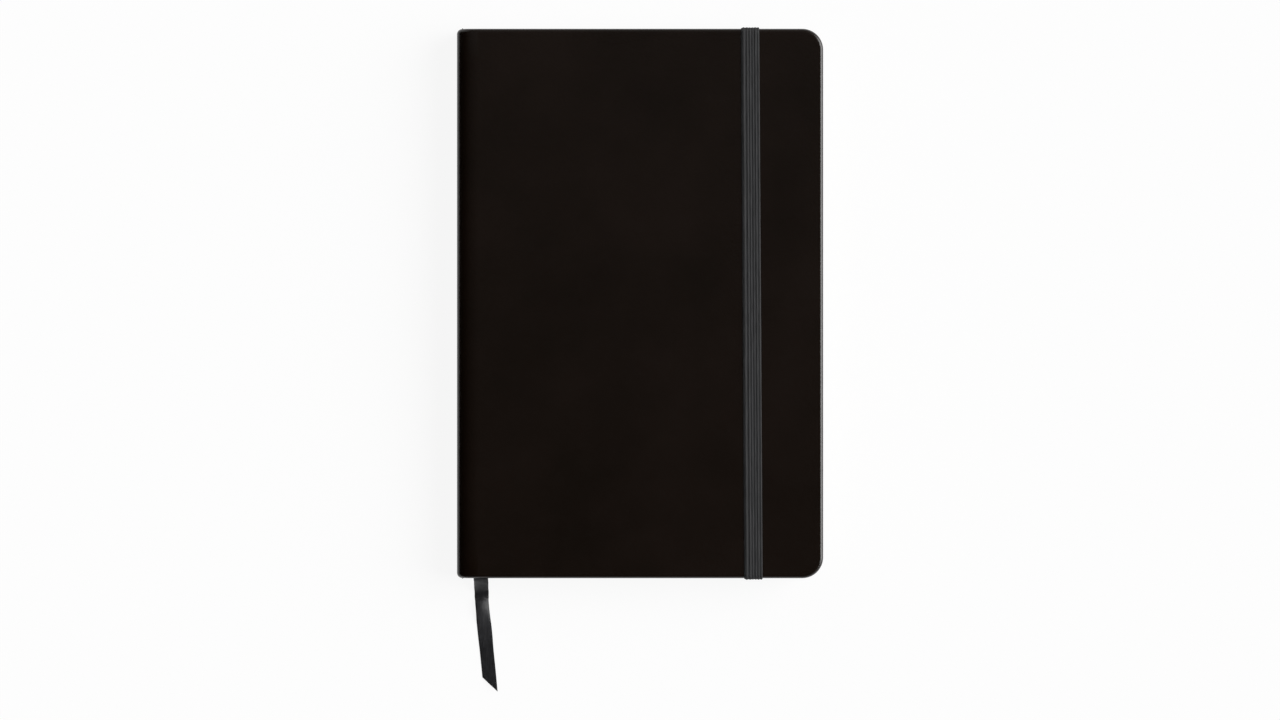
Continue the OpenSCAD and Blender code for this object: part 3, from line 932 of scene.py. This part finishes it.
lay_under = band_t + rise
slit_r, tuck_r = 0.25, 0.7
slit_in = slit_y - 0.2
inside_z = panel_t - 0.02
ends = [(y, lay_under, 0.0, -1.0) for y in spread(side_y - foot_r, slit_in + slit_r, 6)]
ends += [(slit_in + slit_r * (1 - math.sin(a)), lay_under + slit_r * (1 - math.cos(a)),
          -math.sin(a), -math.cos(a)) for a in spread(0, math.pi / 2, 5)[1:]]
ends += [(slit_in, inside_z - tuck_r, -1.0, 0.0)]
ends += [(slit_in - tuck_r * (1 - math.cos(a)), inside_z - tuck_r * (1 - math.sin(a)),
          -math.cos(a), -math.sin(a)) for a in spread(0, math.pi / 2, 6)[1:]]
ends += [(y, inside_z, 0.0, -1.0) for y in spread(slit_in - tuck_r, slit_in - tuck_run, 5)[1:]]
swept_band("elastic_band_ends", both_ends(ends), "back_cover", ["elastic_ends"])


# ---- CAD pieces that keep their shape ----
kept = {"front_board": board, "back_board": board, "spine_strip": board,
        "spine_lining": lining_paper}
for name, material in kept.items():
    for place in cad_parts[name].material_slots:
        place.material = material


# ---- studio ----
def in_sight(tree):
    """1 where the eye meets it straight, in gloss or through glass, and 0 where it only lights."""
    ray = add(tree, "LightPath")
    glossy = add(tree, "Math", {0: ray.outputs["Is Camera Ray"], 1: ray.outputs["Is Glossy Ray"]},
                 operation="MAXIMUM")
    return add(tree, "Math", {0: glossy.outputs[0], 1: ray.outputs["Is Transmission Ray"]},
               operation="MAXIMUM").outputs[0]


def floor_material():
    """White acrylic sheet, matt: it shows as white and keeps the sketchbook's shadow."""
    material = bpy.data.materials.new("acrylic_sheet_matt")
    material.use_nodes = True
    tree = material.node_tree
    tree.nodes.clear()
    matt = add(tree, "BsdfDiffuse", {"Color": (0.12, 0.12, 0.12, 1)})
    level = add(tree, "Math", {0: in_sight(tree), 1: floor_glow}, operation="MULTIPLY")
    glow = add(tree, "Emission", {"Color": (1, 1, 1, 1), "Strength": level.outputs[0]})
    both = add(tree, "AddShader", {0: matt.outputs[0], 1: glow.outputs[0]})
    add(tree, "OutputMaterial", {"Surface": both.outputs[0]})
    return material


floor_mesh = bpy.data.meshes.new("floor")
reach = 30.0
floor_mesh.from_pydata([(-reach, -reach, 0), (reach, -reach, 0), (reach, reach, 0),
                        (-reach, reach, 0)], [], [[0, 1, 2, 3]])
floor_mesh.materials.append(floor_material())
floor = bpy.data.objects.new("floor", floor_mesh)
floor.location.z = -floor_drop * MM
bpy.context.collection.objects.link(floor)


def soft_sun(name, azimuth, elevation, width, strength):
    """Softbox so far away that it lights evenly. azimuth turns from the fore-edge to the head."""
    lamp = bpy.data.lights.new(name, "SUN")
    lamp.angle, lamp.energy = math.radians(width), strength
    obj = bpy.data.objects.new(name, lamp)
    a, e = math.radians(azimuth), math.radians(elevation)
    way = Vector((math.cos(a) * math.cos(e), math.sin(a) * math.cos(e), math.sin(e)))
    obj.rotation_euler = way.to_track_quat("Z", "Y").to_euler()
    bpy.context.collection.objects.link(obj)


soft_sun("softbox_fore_edge", 12, 34, 52, 2.8)
soft_sun("softbox_head", 135, 25, 36, 0.2)

world = bpy.data.worlds.new("studio")
world.use_nodes = True
room = world.node_tree
room.nodes.clear()
# The room is dim towards the spine and pale low down towards the fore-edge. Overhead it is dim
# too, apart from a weak panel that brightens towards the head.
sky = add(room, "SeparateXYZ", {0: add(room, "TexCoord").outputs["Generated"]})
low_down = add(room, "MapRange", {"Value": sky.outputs["Z"], "From Min": 0.0, "From Max": 0.9,
                                  "To Min": 1.0, "To Max": 0.0})
fore_side = add(room, "MapRange", {"Value": sky.outputs["X"], "From Min": -0.7, "From Max": 0.9,
                                   "To Min": 0.0, "To Max": 1.0})
pale = add(room, "Math", {0: low_down.outputs[0], 1: fore_side.outputs[0]}, operation="MULTIPLY")
head_side = add(room, "MapRange", {"Value": sky.outputs["Y"], "From Min": 0.0,
                                   "From Max": 0.15, "To Min": 0.0, "To Max": 0.15})
high_up = add(room, "MapRange", {"Value": sky.outputs["Z"], "From Min": 0.8, "From Max": 0.95})
overhead = add(room, "Math", {0: head_side.outputs[0], 1: high_up.outputs[0]},
               operation="MULTIPLY")
level = add(room, "Math", {0: pale.outputs[0], 1: 0.9, 2: overhead.outputs[0]},
            operation="MULTIPLY_ADD")
# The white floor runs up into a low white backdrop, so that no dark room stands past its edge.
backdrop = add(room, "MapRange", {"Value": sky.outputs["Z"], "From Min": 0.03, "From Max": 0.08,
                                  "To Min": 1.0, "To Max": 0.0})
white = add(room, "Math", {0: backdrop.outputs[0], 1: in_sight(room)}, operation="MULTIPLY")
shown = add(room, "Math", {0: level.outputs[0], 1: white.outputs[0]}, operation="MAXIMUM")
ambient = add(room, "Background", {"Color": (1, 1, 1, 1), "Strength": shown.outputs[0]})
add(room, "OutputWorld", {"Surface": ambient.outputs[0]})
bpy.context.scene.world = world
bpy.context.scene.view_settings.view_transform = "Standard"
